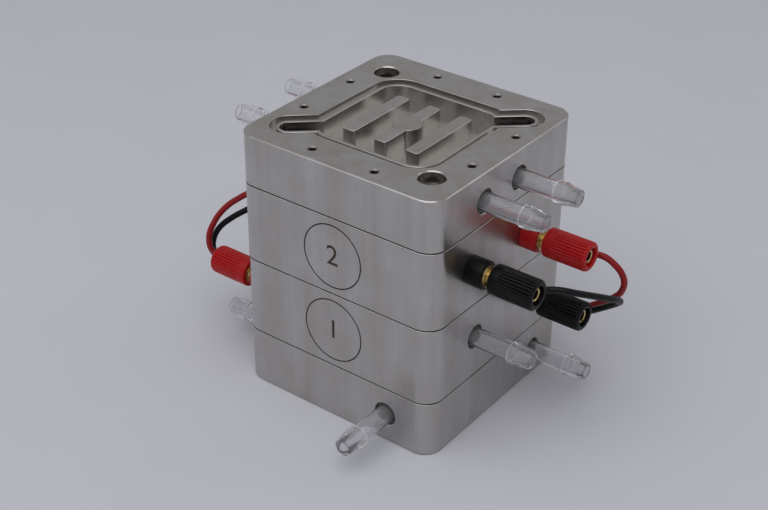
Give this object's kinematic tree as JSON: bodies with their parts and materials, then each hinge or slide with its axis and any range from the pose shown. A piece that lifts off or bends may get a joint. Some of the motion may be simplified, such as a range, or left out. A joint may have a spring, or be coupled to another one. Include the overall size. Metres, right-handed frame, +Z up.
{
  "type": "electrolytic cell",
  "caption": "Square steel block of stacked plates with an open ribbed flow field on top, clear hose barbs, and red and black binding posts joined by short jumper leads.",
  "frame": {"origin": "centre of the underside of the base plate", "axes": "+Z up through the stack, -Y out of the engraved front, +X out of the right face"},
  "size_m": [0.1941, 0.1593, 0.1205],
  "materials": {
    "satin_steel": "satin ground",
    "seal_rubber": "matte",
    "liner_plastic": "machined",
    "electrode_metal": "matte grey coating",
    "membrane_film": "thin film",
    "screw_steel": "satin",
    "clear_plastic": "clear, slightly milky",
    "red_plastic": "moulded",
    "black_plastic": "moulded",
    "post_brass": "bright turned",
    "tinned_copper": "drawn wire",
    "red_insulation": "smooth",
    "black_insulation": "smooth"
  },
  "bodies": {
    "block": {"base_plate": "satin_steel", "lower_cell_body": "satin_steel", "upper_cell_body": "satin_steel", "top_plate": "satin_steel", "lower_seal": "seal_rubber", "middle_seal": "seal_rubber", "upper_seal": "seal_rubber", "lower_anode_liner": "liner_plastic", "lower_cathode_liner": "liner_plastic", "upper_anode_liner": "liner_plastic", "upper_cathode_liner": "liner_plastic", "lower_anode": "electrode_metal", "lower_cathode": "electrode_metal", "upper_anode": "electrode_metal", "upper_cathode": "electrode_metal", "lower_membrane": "membrane_film", "upper_membrane": "membrane_film", "tie_screws": "screw_steel", "clamp_screws": "screw_steel", "top_right_front_barb": "clear_plastic", "top_right_back_barb": "clear_plastic", "top_left_front_barb": "clear_plastic", "top_left_back_barb": "clear_plastic", "cell_barb": "clear_plastic", "base_front_barb": "clear_plastic", "base_right_barb": "clear_plastic", "base_back_barb": "clear_plastic", "base_left_barb": "clear_plastic", "red_collars": "red_plastic", "black_collars": "black_plastic", "post_stems": "post_brass", "post_bushes": "liner_plastic", "lead_tips": "tinned_copper", "right_black_lead": "black_insulation", "right_red_lead": "red_insulation", "left_red_lead": "red_insulation", "left_black_lead": "black_insulation"},
    "upper_right_black_washer": {"upper_right_black_washer": "post_brass"},
    "upper_right_black_knob": {"upper_right_black_knob": "black_plastic"},
    "upper_right_red_washer": {"upper_right_red_washer": "post_brass"},
    "upper_right_red_knob": {"upper_right_red_knob": "red_plastic"},
    "lower_right_black_washer": {"lower_right_black_washer": "post_brass"},
    "lower_right_black_knob": {"lower_right_black_knob": "black_plastic"},
    "lower_left_red_washer": {"lower_left_red_washer": "post_brass"},
    "lower_left_red_knob": {"lower_left_red_knob": "red_plastic"},
    "lower_left_black_washer": {"lower_left_black_washer": "post_brass"},
    "lower_left_black_knob": {"lower_left_black_knob": "black_plastic"},
    "upper_left_red_washer": {"upper_left_red_washer": "post_brass"},
    "upper_left_red_knob": {"upper_left_red_knob": "red_plastic"},
    "lower_back_red_washer": {"lower_back_red_washer": "post_brass"},
    "lower_back_red_knob": {"lower_back_red_knob": "red_plastic"},
    "upper_back_black_washer": {"upper_back_black_washer": "post_brass"},
    "upper_back_black_knob": {"upper_back_black_knob": "black_plastic"}
  },
  "joints": [
    {"name": "upper_right_black_travel", "type": "slide", "parent": "block", "child": "upper_right_black_washer", "axis": [1, 0, 0], "range_m": [0, 0.005]},
    {"name": "upper_right_black_turn", "type": "hinge", "parent": "upper_right_black_washer", "child": "upper_right_black_knob", "pos_m": [0.0609, -0.024, 0.08002], "axis": [1, 0, 0], "range_deg": [0, 1800]},
    {"name": "upper_right_red_travel", "type": "slide", "parent": "block", "child": "upper_right_red_washer", "axis": [1, 0, 0], "range_m": [0, 0.005]},
    {"name": "upper_right_red_turn", "type": "hinge", "parent": "upper_right_red_washer", "child": "upper_right_red_knob", "pos_m": [0.0609, 0.016, 0.07783], "axis": [1, 0, 0], "range_deg": [0, 1800]},
    {"name": "lower_right_black_travel", "type": "slide", "parent": "block", "child": "lower_right_black_washer", "axis": [1, 0, 0], "range_m": [0, 0.005]},
    {"name": "lower_right_black_turn", "type": "hinge", "parent": "lower_right_black_washer", "child": "lower_right_black_knob", "pos_m": [0.0609, 0.015, 0.04927], "axis": [1, 0, 0], "range_deg": [0, 1800]},
    {"name": "lower_left_red_travel", "type": "slide", "parent": "block", "child": "lower_left_red_washer", "axis": [-1, 0, 0], "range_m": [0, 0.005]},
    {"name": "lower_left_red_turn", "type": "hinge", "parent": "lower_left_red_washer", "child": "lower_left_red_knob", "pos_m": [-0.0609, -0.032, 0.03927], "axis": [-1, 0, 0], "range_deg": [0, 1800]},
    {"name": "lower_left_black_travel", "type": "slide", "parent": "block", "child": "lower_left_black_washer", "axis": [-1, 0, 0], "range_m": [0, 0.005]},
    {"name": "lower_left_black_turn", "type": "hinge", "parent": "lower_left_black_washer", "child": "lower_left_black_knob", "pos_m": [-0.0609, 0.015, 0.04927], "axis": [-1, 0, 0], "range_deg": [0, 1800]},
    {"name": "upper_left_red_travel", "type": "slide", "parent": "block", "child": "upper_left_red_washer", "axis": [-1, 0, 0], "range_m": [0, 0.005]},
    {"name": "upper_left_red_turn", "type": "hinge", "parent": "upper_left_red_washer", "child": "upper_left_red_knob", "pos_m": [-0.0609, 0.015, 0.07422], "axis": [-1, 0, 0], "range_deg": [0, 1800]},
    {"name": "lower_back_red_travel", "type": "slide", "parent": "block", "child": "lower_back_red_washer", "axis": [0, 1, 0], "range_m": [0, 0.005]},
    {"name": "lower_back_red_turn", "type": "hinge", "parent": "lower_back_red_washer", "child": "lower_back_red_knob", "pos_m": [0.004, 0.0609, 0.03848], "axis": [0, 1, 0], "range_deg": [0, 1800]},
    {"name": "upper_back_black_travel", "type": "slide", "parent": "block", "child": "upper_back_black_washer", "axis": [0, 1, 0], "range_m": [0, 0.005]},
    {"name": "upper_back_black_turn", "type": "hinge", "parent": "upper_back_black_washer", "child": "upper_back_black_knob", "pos_m": [-0.004, 0.0609, 0.08503], "axis": [0, 1, 0], "range_deg": [0, 1800]}
  ],
  "couplings": [
    {"joint": "upper_right_black_turn", "follows": "upper_right_black_travel", "rad_per_m": 6283.2},
    {"joint": "upper_right_red_turn", "follows": "upper_right_red_travel", "rad_per_m": 6283.2},
    {"joint": "lower_right_black_turn", "follows": "lower_right_black_travel", "rad_per_m": 6283.2},
    {"joint": "lower_left_red_turn", "follows": "lower_left_red_travel", "rad_per_m": 6283.2},
    {"joint": "lower_left_black_turn", "follows": "lower_left_black_travel", "rad_per_m": 6283.2},
    {"joint": "upper_left_red_turn", "follows": "upper_left_red_travel", "rad_per_m": 6283.2},
    {"joint": "lower_back_red_turn", "follows": "lower_back_red_travel", "rad_per_m": 6283.2},
    {"joint": "upper_back_black_turn", "follows": "upper_back_black_travel", "rad_per_m": 6283.2}
  ]
}
